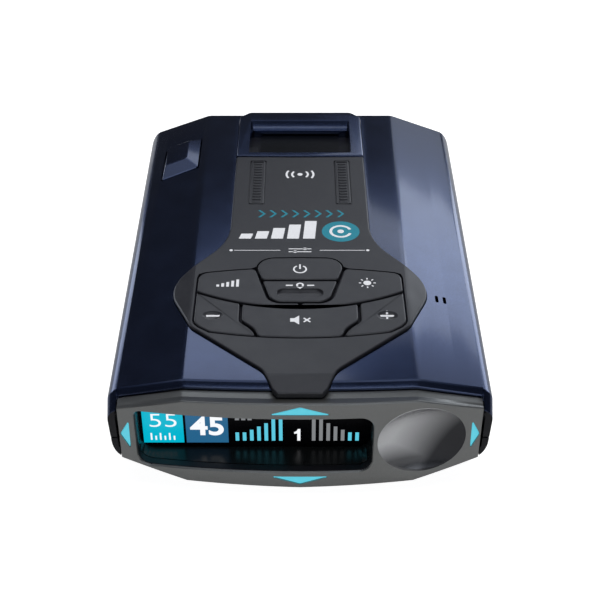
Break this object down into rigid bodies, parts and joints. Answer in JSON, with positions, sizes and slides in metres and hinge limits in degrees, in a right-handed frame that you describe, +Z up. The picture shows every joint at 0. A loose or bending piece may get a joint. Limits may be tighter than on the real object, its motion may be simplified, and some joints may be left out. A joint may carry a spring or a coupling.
{
  "type": "radar detector",
  "caption": "Flat windscreen-mounted electronic detector with a swept display bezel, a sprung keypad on a raised console, and a mount dock with a sliding latch.",
  "frame": {"origin": "middle of the underside, under the centre of the outline", "axes": "+X to the driver's right, +Y towards the road, +Z up; the display faces -Y"},
  "size_m": [0.0928, 0.137, 0.031],
  "materials": {
    "navy_paint": "gloss metallic navy paint on plastic",
    "black_case": "fine moulded texture",
    "grey_bezel": "satin metallic grey paint",
    "charcoal_console": "soft-touch coating",
    "charcoal_key": "satin, printed legends",
    "silicone": "matt",
    "gloss_black": "polished black",
    "screen": "smooth glass front, lit graphics",
    "light_guide": "lit cyan light guide",
    "circuit_board": "green solder mask",
    "flex_film": "amber polyimide film",
    "bare_metal": "plated sheet",
    "cast_metal": "as cast",
    "dark_steel": "blackened",
    "ceramic": "fired, with a silvered patch",
    "infrared_lens": "dark red, passes infrared"
  },
  "bodies": {
    "casing": {"upper_shell": "navy_paint", "lower_shell": "black_case", "front_bezel": "grey_bezel", "keypad_console": "charcoal_console", "key_mat": "silicone", "key_board": "circuit_board", "rib_strip_left": "black_case", "rib_strip_right": "black_case", "arrow_light_up": "light_guide", "arrow_light_down": "light_guide", "arrow_light_left": "light_guide", "arrow_light_right": "light_guide", "display_hood": "gloss_black", "display_panel": "screen", "display_board": "circuit_board", "display_ribbon": "flex_film", "main_board": "circuit_board", "rf_shield": "bare_metal", "processor": "black_case", "bluetooth_module": "bare_metal", "gps_antenna": "ceramic", "supply_capacitor": "black_case", "front_radar_horn": "cast_metal", "rear_radar_horn": "cast_metal", "laser_lens": "infrared_lens", "laser_sensor": "circuit_board", "speaker": "black_case", "speaker_gasket": "silicone", "microphone": "bare_metal", "port_panel": "black_case", "power_jack": "black_case", "usb_port": "bare_metal", "earphone_jack": "black_case", "mount_dock": "navy_paint", "dock_plate": "dark_steel", "dock_magnet_left": "bare_metal", "dock_magnet_right": "bare_metal", "release_spring": "bare_metal", "case_screw_1": "dark_steel", "case_screw_2": "dark_steel", "case_screw_3": "dark_steel", "case_screw_4": "dark_steel", "board_screw_1": "bare_metal", "board_screw_2": "bare_metal", "board_screw_3": "bare_metal", "board_screw_4": "bare_metal"},
    "power": {"power_key": "charcoal_key"},
    "mark": {"mark_key": "charcoal_key"},
    "sensitivity": {"sensitivity_key": "charcoal_key"},
    "brightness": {"brightness_key": "charcoal_key"},
    "volume_down": {"volume_down_key": "charcoal_key"},
    "mute": {"mute_key": "charcoal_key"},
    "volume_up": {"volume_up_key": "charcoal_key"},
    "button": {"release_button": "navy_paint"},
    "latch": {"release_latch": "black_case"}
  },
  "joints": [
    {"name": "power_key_press", "type": "slide", "parent": "casing", "child": "power", "axis": [0, 0, -1], "range_m": [0, 0.0006], "stiffness_N_per_m": 300, "springref_m": -0.001},
    {"name": "mark_key_press", "type": "slide", "parent": "casing", "child": "mark", "axis": [0, 0, -1], "range_m": [0, 0.0006], "stiffness_N_per_m": 300, "springref_m": -0.001},
    {"name": "sensitivity_key_press", "type": "slide", "parent": "casing", "child": "sensitivity", "axis": [0, 0, -1], "range_m": [0, 0.0006], "stiffness_N_per_m": 300, "springref_m": -0.001},
    {"name": "brightness_key_press", "type": "slide", "parent": "casing", "child": "brightness", "axis": [0, 0, -1], "range_m": [0, 0.0006], "stiffness_N_per_m": 300, "springref_m": -0.001},
    {"name": "volume_down_key_press", "type": "slide", "parent": "casing", "child": "volume_down", "axis": [0, 0, -1], "range_m": [0, 0.0006], "stiffness_N_per_m": 300, "springref_m": -0.001},
    {"name": "mute_key_press", "type": "slide", "parent": "casing", "child": "mute", "axis": [0, 0, -1], "range_m": [0, 0.0006], "stiffness_N_per_m": 300, "springref_m": -0.001},
    {"name": "volume_up_key_press", "type": "slide", "parent": "casing", "child": "volume_up", "axis": [0, 0, -1], "range_m": [0, 0.0006], "stiffness_N_per_m": 300, "springref_m": -0.001},
    {"name": "release_button_press", "type": "slide", "parent": "casing", "child": "button", "axis": [0, 0, -1], "range_m": [0, 0.0014], "stiffness_N_per_m": 900, "springref_m": -0.001, "deforming": ["release_spring"]},
    {"name": "latch_slide", "type": "slide", "parent": "casing", "child": "latch", "axis": [-1, 0, 0], "range_m": [0, 0.0014]}
  ],
  "couplings": [
    {"joint": "latch_slide", "follows": "release_button_press", "ratio": 1}
  ]
}
